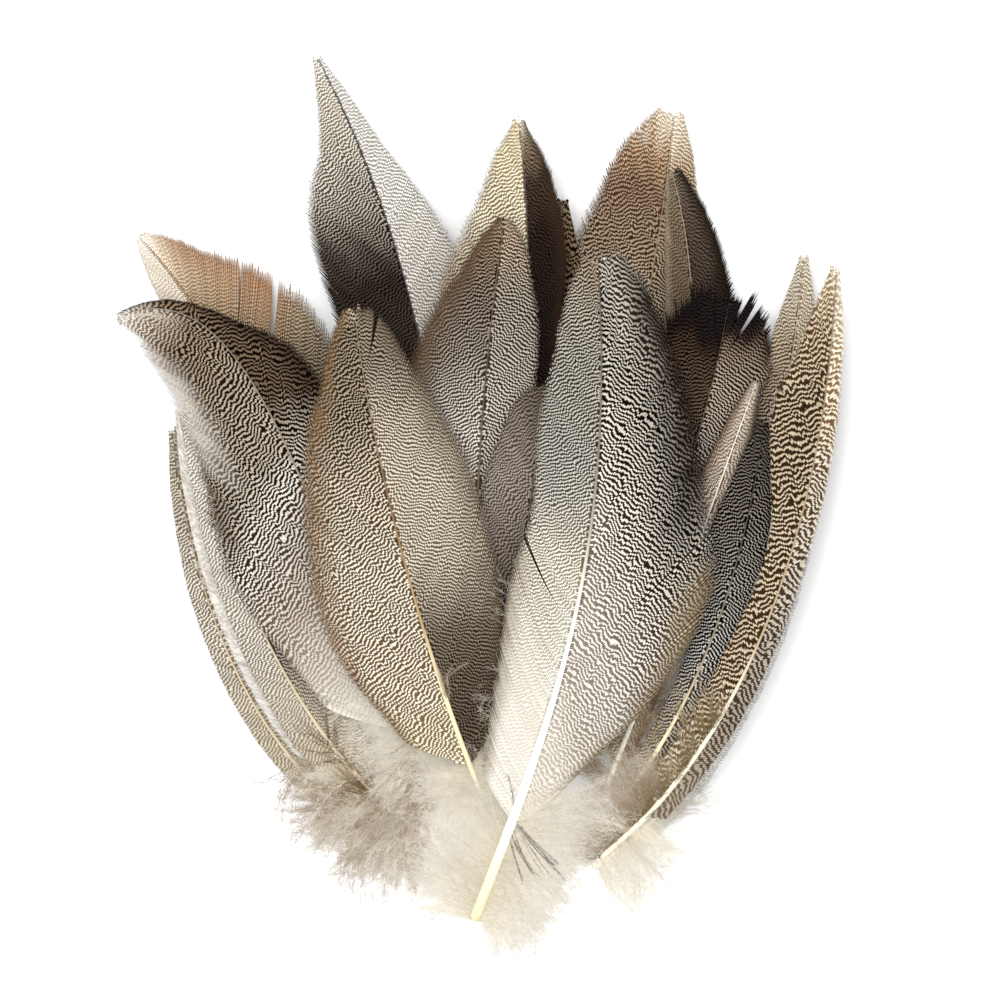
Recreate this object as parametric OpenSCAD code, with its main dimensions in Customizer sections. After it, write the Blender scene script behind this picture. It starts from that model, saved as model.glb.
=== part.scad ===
// A loose fan-shaped bunch of twenty natural barred duck flank feathers.
// The bunch lies flat: +Z is up, +Y runs from the quill ends towards the feather tips,
// and the origin is on the resting surface under the middle of the bunch.
// Each feather is three solids: a tapered shaft and a vane on each side of it.
// All feathers follow one shared arch and lie in layers, so that none cuts through another
// and each one can be lifted off together with those that lie on it.

/* [Stack] */
// Height of one layer above the next
layer_pitch = 0.95; // [0.9:0.05:1.6]
// Height of the arch that all the feathers share
arch_height = 5.5; // [3:0.5:8]
// Half length of the arch across the bunch
arch_half_width = 56; // [50:1:64]
// Half length of the arch along the bunch
arch_half_length = 66; // [60:1:76]

/* [Vanes] */
// Thickness of a vane
vane_thickness = 0.24; // [0.16:0.02:0.28]
// How far a barb reaches forward for each millimetre that it reaches sideways
barb_sweep = 0.8; // [0.6:0.05:0.9]
// Gap between a shaft and the vane beside it
shaft_gap = 0.08; // [0.06:0.01:0.1]

/* [Shafts] */
// Radius of a shaft at its quill end
quill_r = 0.4; // [0.34:0.02:0.42]
// Radius of a shaft at its tip
tip_r = 0.1; // [0.08:0.01:0.12]
// Radius of the front feather's quill
front_quill_r = 0.75; // [0.6:0.05:0.8]
// Length of the straight round end of the front feather's quill
front_quill_length = 7; // [5:0.5:8]

/* [Hidden] */

vane_rows = 15;
vane_columns = 3;
shaft_sides = 6;
bare_share = 0.1; // share of a shaft below its vanes
last_barb = 0.985; // where along the vane the last barb leaves the shaft
quill_joint = 0.02; // between the round quill end and the shaft that goes on from it
crown_fade = 4; // how fast the crown falls off towards a tip
least_width = 0.12;

// Bottom feather first. name, layer, crown height, tip shape (1 pointed, 0.5 round), colour,
// quill end, two handles and tip of the shaft's curve in plan,
// then the left and the right vane's width at even steps from quill to tip.
FEATHERS = [
    ["tan_tip", 0, 0.2, 0.8, "#a98264",
        [-5, -43], [-22, -10], [-38, 27], [-50, 38],
        [2, 4, 5, 5, 4.5, 3], [3, 9, 13, 14.5, 9.8, 4.4]],
    ["edge_speckled", 0, 0.2, 0.7, "#a39582",
        [-11, -52], [-34, -40], [-42, -15], [-45, 10],
        [1, 2, 2.2, 2.2, 2, 1.4], [1, 2.2, 2.6, 2.6, 2.2, 1.4]],
    ["cream_top", 0, 0.2, 0.6, "#a8957a",
        [9, -33], [14, -10], [25, 15], [29, 57],
        [3, 7, 10, 12.5, 12.5, 9], [2, 5, 7, 7, 6, 5]],
    ["outer_right", 0, 0.2, 0.8, "#d8cfc0",
        [17, -55], [34, -44], [46, -22], [52, 12],
        [2, 2.5, 2.8, 2.8, 2.4, 1.6], [1.5, 2, 2, 2, 1.8, 1.2]],
    ["edge_white", 1, 0.2, 0.7, "#e4ded4",
        [-10, -50], [-30, -38], [-39, -14], [-44, 13],
        [1, 2, 2.4, 2.4, 2.2, 1.6], [1, 2, 2.4, 2.4, 2.2, 1.4]],
    ["tall_grey", 1, 0.2, 0.9, "#8d8276",
        [-2, -34], [-3, 0], [-8, 36], [-24, 65],
        [2, 6, 9, 11.5, 10.5, 4.5], [2, 6, 8.5, 9, 6, 2.4]],
    ["round_dark", 1, 0.2, 0.6, "#5b5048",
        [13, -38], [24, -20], [38, 12], [28.5, 48],
        [2, 4, 5, 5, 4.5, 3.4], [2, 4, 6, 7, 7, 4.8]],
    ["edge_fine", 2, 0.2, 0.7, "#c3b8a6",
        [-7, -50], [-26, -38], [-37, -12], [-43, 15],
        [2, 4, 4, 3.6, 3, 2], [3, 5, 5, 4.5, 3.5, 2]],
    ["pale_right", 2, 0.2, 0.9, "#c9bda8",
        [18, -52], [34, -36], [45, 0], [48, 36],
        [2, 3, 3.5, 3.5, 3.6, 3.4], [2, 3.5, 4.5, 4.5, 4.5, 3.6]],
    ["tiger", 2, 0.2, 0.7, "#7a5232",
        [7, -35], [11, -10], [12, 10], [12.5, 44],
        [2, 4, 5, 5, 4.5, 3], [2, 4, 5, 5, 4.5, 3]],
    ["zebra", 3, 0.5, 0.7, "#6b5e52",
        [-4, -44.5], [-24, -12], [-31, 36], [-53, 26],
        [9, 15, 13, 11, 9.5, 5], [3, 6, 8, 8, 3.4, 1.4]],
    ["black_tip", 3, 0.2, 0.5, "#54463c",
        [11, -42], [20, -24], [32, 0], [37, 29],
        [4, 9, 12, 13, 12, 8.5], [2, 3, 4, 4.2, 5.6, 7.4]],
    ["cream_back", 4, 0.2, 0.8, "#a6937a",
        [6, -30], [7, 0], [9, 30], [6, 55],
        [2, 5, 9, 13, 9.4, 5.2], [2, 4, 4.5, 4, 5.5, 4]],
    ["pale_strip", 4, 0.2, 0.7, "#d9cdb8",
        [18, -45], [26, -25], [34, -2], [41, 17],
        [1.5, 2.5, 3, 3.2, 3, 2], [1.5, 2, 2.5, 2.5, 2.4, 1.8]],
    ["grey_centre", 5, 0.2, 0.7, "#94897a",
        [1, -42], [-2, -10], [1, 20], [4, 40.5],
        [3, 7, 10, 11, 8.6, 4.4], [3, 6, 7.5, 7.3, 6.8, 4.6]],
    ["fine_zebra", 5, 0.2, 0.7, "#5e554d",
        [16, -50], [31, -36], [39, -12], [42, 11],
        [1.5, 2, 2.2, 3, 4.9, 3], [1.5, 2, 2.6, 3.8, 3.6, 2.4]],
    ["taupe", 6, 0.2, 0.6, "#7c7168",
        [7, -38], [5, -15], [8, 0], [10, 16],
        [3, 6, 7, 7, 6, 4.5], [2, 4, 5.5, 6, 5.5, 4]],
    ["bronze", 6, 0.5, 0.8, "#8f7656",
        [18, -53], [42, -34], [51.5, 2], [52.5, 34],
        [3, 3.7, 3.6, 3.4, 7.6, 4.2], [2, 2.4, 2.4, 2.4, 2.4, 1.8]],
    ["gold_front", 7, 0.3, 0.6, "#a08c6c",
        [1, -44.5], [-6, -28], [-15, 2], [-18, 27.5],
        [7, 12.8, 13.6, 12.2, 9.4, 5.2], [6, 11.5, 13, 12.3, 9.8, 6]],
    ["front", 8, 1.2, 0.5, "#8f8577",
        [2, -55.5], [13, -27], [20, -5], [17.5, 35],
        [6, 8.5, 10, 8.5, 8.8, 6.4], [3, 13.5, 18, 15.5, 13, 9]],
];
PIECES = ["shaft", "left_vane", "right_vane"];

// What each place of a feather's row holds
NAME = 0;
LAYER = 1;
CROWN = 2;
TIP_SHAPE = 3;
COLOUR = 4;
CURVE = 5;
LEFT = 9;
RIGHT = 10;

shaft_colour = "#e8dcc0";
left_side = 1;
right_side = -1;
width_steps = 6;

function is_front(f) = f[NAME] == "front";

// The shaft's curve in plan, its direction, and the direction to its left.
function curve_point(f, u) =
    pow(1 - u, 3) * f[CURVE] + 3 * pow(1 - u, 2) * u * f[CURVE + 1]
    + 3 * (1 - u) * u * u * f[CURVE + 2] + pow(u, 3) * f[CURVE + 3];
function curve_slope(f, u) =
    3 * pow(1 - u, 2) * (f[CURVE + 1] - f[CURVE])
    + 6 * (1 - u) * u * (f[CURVE + 2] - f[CURVE + 1])
    + 3 * u * u * (f[CURVE + 3] - f[CURVE + 2]);
function forward(f, u) = curve_slope(f, u) / norm(curve_slope(f, u));
function leftward(f, u) = [-forward(f, u)[1], forward(f, u)[0]];

// Height of the shared arch over a point of the plan.
function arch(p) =
    arch_height
    * pow(max(0, 1 - pow(p[0] / arch_half_width, 2) - pow(p[1] / arch_half_length, 2)), 2);
function crown(f, t) = f[CROWN] * min(1, (1 - t) * crown_fade);
function height(f, p, t, across) =
    f[LAYER] * layer_pitch + arch(p) + crown(f, t) * (1 - across * across);

// Radius of a shaft from its quill end, u = 0, to its tip, u = 1.
function root_r(f) = is_front(f) ? front_quill_r : quill_r;
function shaft_r(f, u) = tip_r + (root_r(f) - tip_r) * pow(1 - u, 0.8);

// A smooth curve through the listed widths, which closes at the tip.
function width_at(widths, i) = widths[max(0, min(width_steps - 1, i))];
function through(a, b, c, d, s) =
    b + s * (c - a) / 2 + s * s * (a - 2.5 * b + 2 * c - d / 2)
    + s * s * s * (1.5 * b - a / 2 - 1.5 * c + d / 2);
function vane_width(f, widths, t) =
    let (place = t * width_steps, i = floor(place))
    max(least_width, i >= width_steps - 1
        ? width_at(widths, i) * pow(width_steps - place, f[TIP_SHAPE])
        : through(width_at(widths, i - 1), width_at(widths, i), width_at(widths, i + 1),
            width_at(widths, i + 2), place - i));

// A point of a vane: t runs from its lowest barb to its last, across from shaft to edge.
function along_shaft(t) = bare_share + (1 - bare_share) * t;
function vane_point(f, side, widths, t, across) =
    let (
        u = along_shaft(t),
        start = shaft_r(f, u) + shaft_gap,
        out = across * vane_width(f, widths, t),
        plan = curve_point(f, u) + side * (start + out) * leftward(f, u)
            + barb_sweep * out * forward(f, u)
    )
    [plan[0], plan[1], height(f, plan, t, across)];

function vane_middle(f, side, widths) = [
    for (row = [0:vane_rows], column = [0:vane_columns])
        vane_point(f, side, widths, last_barb * row / vane_rows, column / vane_columns)
];

// A shaft has a ring of points beside each row of its vanes, so that the gap between them
// stays even however the shaft bends, and one more at each end.
shaft_stops = [
    0,
    each [for (row = [0:vane_rows]) along_shaft(last_barb * row / vane_rows)],
    1
];
shaft_rings = len(shaft_stops) - 1;
function shaft_ring(f, u) =
    let (
        centre = curve_point(f, u),
        t = max(0, (u - bare_share) / (1 - bare_share)),
        z = height(f, centre, t, 0)
    )
    [
        for (k = [0:shaft_sides - 1])
            let (
                angle = 360 * k / shaft_sides,
                out = shaft_r(f, u) * cos(angle) * leftward(f, u)
            )
            [centre[0] + out[0], centre[1] + out[1], z + shaft_r(f, u) * sin(angle)]
    ];
function shaft_points(f) = [
    for (u = shaft_stops) each shaft_ring(f, u)
];

// The corners of the front feather's round quill end, seen from above.
function quill_corners(f) =
    let (end = curve_point(f, 0) - (quill_joint + front_quill_length) * forward(f, 0))
    [
        for (side = [left_side, right_side])
            let (corner = end + side * front_quill_r * leftward(f, 0))
            [corner[0], corner[1], height(f, curve_point(f, 0), 0, 0)]
    ];

// The bunch is moved so that the origin lies under its middle, on the resting surface.
all_points = [
    for (f = FEATHERS)
        each concat(
            vane_middle(f, left_side, f[LEFT]),
            vane_middle(f, right_side, f[RIGHT]),
            shaft_points(f),
            is_front(f) ? quill_corners(f) : []
        )
];
function lowest(axis) = min([for (p = all_points) p[axis]]);
function highest(axis) = max([for (p = all_points) p[axis]]);
function middle(axis) = (lowest(axis) + highest(axis)) / 2;
vane_bottom = min([
    for (f = FEATHERS)
        each [
            for (p = concat(vane_middle(f, left_side, f[LEFT]), vane_middle(f, right_side, f[RIGHT])))
                p[2] - vane_thickness / 2
        ]
]);
rest_origin = [middle(0), middle(1), min(vane_bottom, lowest(2))];

// Two triangles for each cell between neighbouring rows and columns of points.
function cell(a, b, c, d) = [[a, b, c], [a, c, d]];
function flipped(faces) = [for (face = faces) [face[0], face[2], face[1]]];

module sheet(f, side, widths) {
    across_count = vane_columns + 1;
    sheet_count = (vane_rows + 1) * across_count;
    lift = [0, 0, vane_thickness / 2];
    upper = [for (p = vane_middle(f, side, widths)) p + lift];
    lower = [for (p = upper) p - 2 * lift];
    function index(row, column) = row * across_count + column;
    top_faces = [
        for (row = [0:vane_rows - 1], column = [0:vane_columns - 1])
            each cell(index(row, column), index(row + 1, column),
                index(row + 1, column + 1), index(row, column + 1))
    ];
    bottom_faces = [for (face = flipped(top_faces)) face + sheet_count * [1, 1, 1]];
    rim = concat(
        [for (row = [0:vane_rows]) index(row, 0)],
        [for (column = [1:vane_columns]) index(vane_rows, column)],
        [for (row = [vane_rows - 1:-1:0]) index(row, vane_columns)],
        [for (column = [vane_columns - 1:-1:1]) index(0, column)]
    );
    rim_faces = [
        for (i = [0:len(rim) - 1])
            let (a = rim[i], b = rim[(i + 1) % len(rim)])
            each cell(a, a + sheet_count, b + sheet_count, b)
    ];
    faces = concat(top_faces, bottom_faces, rim_faces);
    polyhedron(concat(upper, lower), side == left_side ? flipped(faces) : faces);
}

module shaft_tube(f) {
    walls = [
        for (ring = [0:shaft_rings - 1], k = [0:shaft_sides - 1])
            let (
                a = ring * shaft_sides + k,
                b = ring * shaft_sides + (k + 1) % shaft_sides
            )
            each cell(a, b, b + shaft_sides, a + shaft_sides)
    ];
    last = shaft_rings * shaft_sides;
    caps = [
        for (k = [1:shaft_sides - 2])
            each [[0, k + 1, k], [last, last + k, last + k + 1]]
    ];
    polyhedron(shaft_points(f), flipped(concat(walls, caps)));
}

// The round quill end that goes on from the front feather's shaft.
module quill_end(f) {
    start = curve_point(f, 0);
    direction = forward(f, 0);
    translate([start[0], start[1], height(f, start, 0, 0)])
        rotate([0, 0, atan2(direction[1], direction[0])])
            translate([-quill_joint, 0, 0])
                rotate([0, -90, 0])
                    cylinder(r = front_quill_r, h = front_quill_length, $fn = 48);
}

module shaft(f) {
    color(shaft_colour)
        translate(-rest_origin) {
            shaft_tube(f);
            if (is_front(f)) quill_end(f);
        }
}

module left_vane(f) {
    color(f[COLOUR]) translate(-rest_origin) sheet(f, left_side, f[LEFT]);
}

module right_vane(f) {
    color(f[COLOUR]) translate(-rest_origin) sheet(f, right_side, f[RIGHT]);
}

for (f = FEATHERS) {
    shaft(f);
    left_vane(f);
    right_vane(f);
}
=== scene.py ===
"""Looks for a loose fan of barred duck flank feathers.

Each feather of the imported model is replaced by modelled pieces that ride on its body: a smooth
tapered shaft, two vanes made of single barbs, and the down at its quill end.
Lengths are in millimetres where a name ends in _mm or _MM, and in metres elsewhere.
"""

import math
from collections import namedtuple

import bpy
import numpy as np
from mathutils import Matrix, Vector
from mathutils.bvhtree import BVHTree


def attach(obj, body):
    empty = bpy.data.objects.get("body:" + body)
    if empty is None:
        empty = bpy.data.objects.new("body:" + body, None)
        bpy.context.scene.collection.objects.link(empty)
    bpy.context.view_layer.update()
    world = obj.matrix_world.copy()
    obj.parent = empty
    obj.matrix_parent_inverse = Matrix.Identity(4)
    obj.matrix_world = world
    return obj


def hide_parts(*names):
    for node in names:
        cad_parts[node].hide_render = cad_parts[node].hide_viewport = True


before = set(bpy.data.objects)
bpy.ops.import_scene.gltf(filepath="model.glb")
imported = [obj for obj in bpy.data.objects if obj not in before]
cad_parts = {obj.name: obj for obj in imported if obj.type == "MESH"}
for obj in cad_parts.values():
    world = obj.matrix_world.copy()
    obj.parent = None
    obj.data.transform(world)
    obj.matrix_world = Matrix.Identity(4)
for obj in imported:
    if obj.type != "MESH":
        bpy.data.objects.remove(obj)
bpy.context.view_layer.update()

MM = 0.001
UP = np.array([0.0, 0.0, 1.0])
LEFT, RIGHT = 1, -1

# ---------------------------------------------------------------- camera, light and floor

VIEW_X_MM = 3.0  # the middle of the view, a little right of and below the bunch's own middle
VIEW_Y_MM = -2.1
VIEW_HEIGHT_MM = 7.0
VIEW_WIDTH_MM = 146.0
LENS_MM = 200.0
SENSOR_MM = 36.0
CLIP_NEAR = 0.01
CLIP_FAR = 10.0
WORLD_LIGHT = 1.2
LAMP_WATTS = 3.0
LAMP_SIZE = 0.5
LAMP_PLACE = (-0.22, 0.3, 0.75)
FLOOR_SIZE = 3.0
FLOOR_COLOUR = (0.96, 0.96, 0.96, 1.0)
FLOOR_ROUGHNESS = 0.9


def make_camera():
    data = bpy.data.cameras.new("camera")
    data.lens = LENS_MM
    data.sensor_width = SENSOR_MM
    data.clip_start = CLIP_NEAR
    data.clip_end = CLIP_FAR
    camera = bpy.data.objects.new("camera", data)
    bpy.context.scene.collection.objects.link(camera)
    distance = VIEW_WIDTH_MM * MM * LENS_MM / SENSOR_MM
    camera.location = (VIEW_X_MM * MM, VIEW_Y_MM * MM, VIEW_HEIGHT_MM * MM + distance)
    bpy.context.scene.camera = camera


def make_light():
    world = bpy.data.worlds.new("studio")
    world.use_nodes = True
    world.node_tree.nodes["Background"].inputs["Strength"].default_value = WORLD_LIGHT
    world.node_tree.nodes["Background"].inputs["Color"].default_value = (1, 1, 1, 1)
    bpy.context.scene.world = world
    data = bpy.data.lights.new("softbox", "AREA")
    data.size = LAMP_SIZE
    data.energy = LAMP_WATTS
    lamp = bpy.data.objects.new("softbox", data)
    lamp.location = LAMP_PLACE
    lamp.rotation_euler = (-lamp.location).to_track_quat("-Z", "Y").to_euler()
    bpy.context.scene.collection.objects.link(lamp)
    bpy.context.scene.view_settings.view_transform = "Standard"


# ---------------------------------------------------------------- node graphs

BUMP_STRENGTH = 0.5


def linear(code, gain=1.0):
    """A colour's six hexadecimal digits as a linear colour, times gain."""
    values = [int(code[i:i + 2], 16) / 255 for i in (0, 2, 4)]
    values = [v / 12.92 if v <= 0.04045 else ((v + 0.055) / 1.055) ** 2.4 for v in values]
    return [min(1.0, v * gain) for v in values] + [1.0]


class Graph:
    """Builds a material's nodes and links."""

    def __init__(self, name):
        self.material = bpy.data.materials.new(name)
        self.material.use_nodes = True
        self.tree = self.material.node_tree
        self.shader = self.tree.nodes["Principled BSDF"]

    def feed(self, socket, value):
        if isinstance(value, bpy.types.NodeSocket):
            self.tree.links.new(value, socket)
        else:
            socket.default_value = value

    def add(self, kind, **settings):
        node = self.tree.nodes.new(kind)
        for key, value in settings.items():
            setattr(node, key, value)
        return node

    def mark(self, name):
        """One of the marks that a strand carries along it."""
        return self.add("ShaderNodeAttribute", attribute_name=name).outputs["Fac"]

    def math(self, operation, a, b=0.0):
        node = self.add("ShaderNodeMath", operation=operation)
        self.feed(node.inputs[0], a)
        self.feed(node.inputs[1], b)
        return node.outputs[0]

    def plus(self, a, b):
        return self.math("ADD", a, b)

    def times(self, a, b):
        return self.math("MULTIPLY", a, b)

    def step(self, value, low, high, to_low=0.0, to_high=1.0):
        """value eased from low..high to to_low..to_high, or the other way round if low is above high."""
        node = self.add("ShaderNodeMapRange", interpolation_type="SMOOTHSTEP")
        for socket, number in zip(node.inputs, (value, low, high, to_low, to_high)):
            self.feed(socket, number)
        return node.outputs[0]

    def join(self, x, y, z=0.0):
        node = self.add("ShaderNodeCombineXYZ")
        for socket, number in zip(node.inputs, (x, y, z)):
            self.feed(socket, number)
        return node.outputs[0]

    def noise(self, vector, scale, detail=1.0):
        """Smooth noise about 0, from -1 to 1."""
        node = self.add("ShaderNodeTexNoise")
        self.feed(node.inputs["Vector"], vector)
        node.inputs["Scale"].default_value = scale
        node.inputs["Detail"].default_value = detail
        return self.plus(self.times(node.outputs["Fac"], 2.0), -1.0)

    def ramp(self, factor, stops):
        """stops are (place, colour), with places from 0 to 1."""
        node = self.add("ShaderNodeValToRGB")
        elements = node.color_ramp.elements
        while len(elements) < len(stops):
            elements.new(0.5)
        for element, (place, colour) in zip(elements, stops):
            element.position = place
            element.color = colour
        self.feed(node.inputs["Fac"], factor)
        return node.outputs["Color"]

    def mix(self, factor, a, b):
        return self.blend("MIX", factor, a, b)

    def shade(self, colour, tone):
        """colour, made lighter or darker by tone."""
        return self.blend("MULTIPLY", 1.0, colour, self.join(tone, tone, tone))

    def blend(self, kind, factor, a, b):
        node = self.add("ShaderNodeMix", data_type="RGBA", blend_type=kind)
        self.feed(node.inputs[0], factor)
        self.feed(node.inputs[6], a)
        self.feed(node.inputs[7], b)
        return node.outputs[2]

    def finish(self, colour, roughness, bump=None, bump_mm=0.02, gloss=0.02):
        self.feed(self.shader.inputs["Base Color"], colour)
        self.feed(self.shader.inputs["Roughness"], roughness)
        self.shader.inputs["Specular IOR Level"].default_value = gloss
        if bump is not None:
            node = self.add("ShaderNodeBump")
            node.inputs["Strength"].default_value = BUMP_STRENGTH
            node.inputs["Distance"].default_value = bump_mm * MM
            self.feed(node.inputs["Height"], bump)
            self.feed(self.shader.inputs["Normal"], node.outputs["Normal"])
        return self.material


# ---------------------------------------------------------------- strands

SECTION = ((-0.5, -1 / 3), (0.5, -1 / 3), (0.0, 2 / 3))  # a strand's three corners: across, above
RIDGE = (0.0, 0.0, 1.0)  # which of the three corners is on top
STEEPEST = 1e-3  # with a smaller sideways share than this a strand is upright and gets a fixed side
ATLAS_ROWS = 200  # strands below each other in a piece's map, before a new column starts
ATLAS_MARGIN = 0.04
ATLAS_BANDS = (0.02, 0.34, 0.66, 0.98)  # the limits of a strand's three faces in its row of the map


def unit(vectors):
    return vectors / np.maximum(np.linalg.norm(vectors, axis=-1, keepdims=True), 1e-12)


def atlas(n, k):
    """Where each strand lies in the piece's map: u for each point along it, v for each band."""
    rows = min(n, ATLAS_ROWS)
    columns = -(-n // rows)
    strand = np.arange(n)
    along = ATLAS_MARGIN + (1 - 2 * ATLAS_MARGIN) * np.arange(k) / (k - 1)
    u = ((strand // rows)[:, None] + along[None]) / columns
    bands = (strand % rows)[:, None] + np.array(ATLAS_BANDS)[None]
    return u, bands / rows


def new_piece(name, mesh, marks):
    """An object of the mesh, which gets each mark as an attribute of its points."""
    for key, values in marks.items():
        attribute = mesh.attributes.new(key, "FLOAT", "POINT")
        attribute.data.foreach_set("value", values.astype(np.float32).ravel())
    mesh.update(calc_edges=True)
    mesh.validate()
    piece = bpy.data.objects.new(name, mesh)
    bpy.context.scene.collection.objects.link(piece)
    return piece


def strands(name, points, width, height, marks):
    """A mesh of closed three-sided strands, each with its marks as attributes.

    points is (strands, places, 3); width, height and each mark are (strands, places).
    """
    n, k = points.shape[:2]
    run = unit(np.gradient(points, axis=1))
    across = np.cross(run, UP)
    across[np.linalg.norm(across, axis=-1) < STEEPEST] = (1.0, 0.0, 0.0)
    across = unit(across)
    above = np.cross(across, run)
    side = np.array(SECTION)
    corners = (points[:, :, None]
               + side[:, 0, None] * (width[..., None] * across)[:, :, None]
               + side[:, 1, None] * (height[..., None] * above)[:, :, None])
    index = np.arange(n * k * 3).reshape(n, k, 3)
    after = np.roll(index, -1, axis=2)
    quads = np.stack([index[:, :-1], index[:, 1:], after[:, 1:], after[:, :-1]], axis=-1)
    start = index[:, 0, [0, 1, 2]]
    end = index[:, -1, [0, 2, 1]]
    loops = np.concatenate([quads.reshape(-1), start.reshape(-1), end.reshape(-1)])
    starts = np.concatenate([
        np.arange(n * (k - 1) * 3) * 4,
        n * (k - 1) * 12 + np.arange(2 * n) * 3,
    ])
    mesh = bpy.data.meshes.new(name)
    mesh.vertices.add(n * k * 3)
    mesh.vertices.foreach_set("co", corners.astype(np.float32).ravel())
    mesh.loops.add(len(loops))
    mesh.loops.foreach_set("vertex_index", loops.astype(np.int32))
    mesh.polygons.add(len(starts))
    mesh.polygons.foreach_set("loop_start", starts.astype(np.int32))

    u, bands = atlas(n, k)
    quad_u = np.stack([u[:, :-1], u[:, 1:], u[:, 1:], u[:, :-1]], axis=-1)
    quad_u = np.repeat(quad_u[:, :, None], 3, axis=2)
    quad_v = np.stack([bands[:, :3], bands[:, :3], bands[:, 1:], bands[:, 1:]], axis=-1)
    quad_v = np.repeat(quad_v[:, None], k - 1, axis=1)
    cap_u = np.concatenate([np.repeat(u[:, 0], 3), np.repeat(u[:, -1], 3)])
    cap_v = np.tile(bands[:, :3].ravel(), 2)
    uv = np.stack([np.concatenate([quad_u.ravel(), cap_u]),
                   np.concatenate([quad_v.ravel(), cap_v])], axis=-1)
    layer = mesh.uv_layers.new(name="OFBake")
    layer.data.foreach_set("uv", uv.astype(np.float32).ravel())

    marks = {key: np.repeat(values[..., None], 3, axis=2) for key, values in marks.items()}
    # the ridge mark is 1 on a strand's top corner; vane materials paint shade between barbs from it
    marks["ridge"] = np.tile(RIDGE, (n, k, 1))
    return new_piece(name, mesh, marks)


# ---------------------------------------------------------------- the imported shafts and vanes

QUILL_R_MM = 0.4
FRONT_QUILL_R_MM = 0.75
RING_REACH = 1.1  # points of one ring are nearer to each other than this many quill radii
SHAFT_GAP_MM = 0.08
VANE_HALF_MM = 0.12
CURVE_STEPS = 300
ABOVE_ALL = 1.0  # a height above the whole bunch


def quill_radius_mm(feather):
    return FRONT_QUILL_R_MM if feather == "front" else QUILL_R_MM


def node_points(node):
    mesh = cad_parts[node].data
    points = np.empty(len(mesh.vertices) * 3, np.float32)
    mesh.vertices.foreach_get("co", points)
    return points.reshape(-1, 3).astype(float)


def rings(points, reach):
    """Groups points that chain together within reach: each group's centre and radius."""
    near = np.linalg.norm(points[:, None] - points[None], axis=2) < reach
    label = np.arange(len(points))
    while True:
        spread = np.where(near, label[None], len(points)).min(axis=1)
        if (spread == label).all():
            break
        label = spread
    centres, radii = [], []
    for group in np.unique(label):
        members = points[label == group]
        middle = members.mean(axis=0)
        centres.append(middle)
        radii.append(np.linalg.norm(members - middle, axis=1).max())
    return np.array(centres), np.array(radii)


class Shaft:
    """A feather's shaft as a smooth curve from its quill end to its tip."""

    def __init__(self, feather):
        points = np.unique(node_points(f"{feather}_shaft").round(7), axis=0)
        centres, radii = rings(points, RING_REACH * quill_radius_mm(feather) * MM)
        order = [int(radii.argmin())]
        while len(order) < len(centres):
            away = np.linalg.norm(centres - centres[order[-1]], axis=1)
            away[order] = np.inf
            order.append(int(away.argmin()))
        centres, radii = centres[order[::-1]], radii[order[::-1]]
        place = np.concatenate([[0], np.cumsum(np.linalg.norm(np.diff(centres, axis=0), axis=1))])
        slope = np.gradient(centres, place, axis=0)
        fine = np.linspace(0, place[-1], CURVE_STEPS)
        i = np.clip(np.searchsorted(place, fine, side="right") - 1, 0, len(place) - 2)
        span = (place[i + 1] - place[i])[:, None]
        t = (fine - place[i])[:, None] / span
        self.points = ((2 * t**3 - 3 * t**2 + 1) * centres[i] + (t**3 - 2 * t**2 + t) * span * slope[i]
                       + (3 * t**2 - 2 * t**3) * centres[i + 1] + (t**3 - t**2) * span * slope[i + 1])
        steps = np.linalg.norm(np.diff(self.points, axis=0), axis=1)
        self.s = np.concatenate([[0], np.cumsum(steps)])
        self.length = self.s[-1]
        self.radius = np.interp(fine, place, radii)
        self.forward = unit(np.gradient(self.points[:, :2], axis=0))

    def at(self, s):
        """Centre, direction in plan and radius at each distance s along the shaft."""
        centre = np.stack([np.interp(s, self.s, self.points[:, i]) for i in range(3)], axis=-1)
        forward = unit(np.stack([np.interp(s, self.s, self.forward[:, i]) for i in range(2)], axis=-1))
        return centre, forward, np.interp(s, self.s, self.radius)


def turned(direction, angle):
    """Plan directions turned left by angle."""
    c, s = np.cos(angle), np.sin(angle)
    x, y = direction[..., 0], direction[..., 1]
    return np.stack([c * x - s * y, s * x + c * y], axis=-1)


class Sheet:
    """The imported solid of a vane, as a surface that barbs lie in."""

    def __init__(self, node):
        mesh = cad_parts[node].data
        corners = [v.co.copy() for v in mesh.vertices]
        self.tree = BVHTree.FromPolygons(corners, [tuple(p.vertices) for p in mesh.polygons])

    def height(self, x, y):
        """The middle of the sheet under a point of the plan, or None outside it."""
        hit = self.tree.ray_cast(Vector((x, y, ABOVE_ALL)), Vector((0, 0, -1)))[0]
        return None if hit is None else hit.z - VANE_HALF_MM * MM


# ---------------------------------------------------------------- barbs

BARB_STEP_MM = 0.36
LOOSE_STEP = 0.55  # barbs are closer together and finer where a vane turns to fluff
FIRST_BARB = 0.02  # where along the shaft the first barb may grow, as a share of its length
ROOT_INSET = 0.25  # how far from the shaft's middle line a barb is rooted, in shaft radii
START_OFFSETS_MM = (0.04, 0.12, 0.25, 0.45, 0.7)  # where a barb looks for the sheet's inner edge
ROOT_ANGLE = math.radians(50)
EDGE_ANGLE = math.radians(29)
BASE_ANGLE = math.radians(60)
TIP_ANGLE = math.radians(4)
TIP_START = 0.72  # from here to the tip barbs turn forward
BASE_END = 0.3  # from here to the quill barbs turn outward
BASE_FADE = 0.2
EDGE_FOLLOW = 0.68  # how far a barb's angle at its end follows the one at its root
ROOT_WANDER = (math.radians(2.0), 14)  # how far barbs' angles wander, and over how many millimetres
EDGE_WANDER = (math.radians(2.5), 9)
LOOSE_WANDER = (math.radians(2.0), 5)
LOOSE_ANGLE = math.radians(0.7)
LOOSE_FADE = 0.15
SPLIT_REACH_MM = 2.2
SPLIT_OPEN_MM = 4  # how far out from the shaft a split is fully open
BEND_MM = 9.0
MARCH_MM = 0.3
MARCH_STEPS = 150
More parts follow.
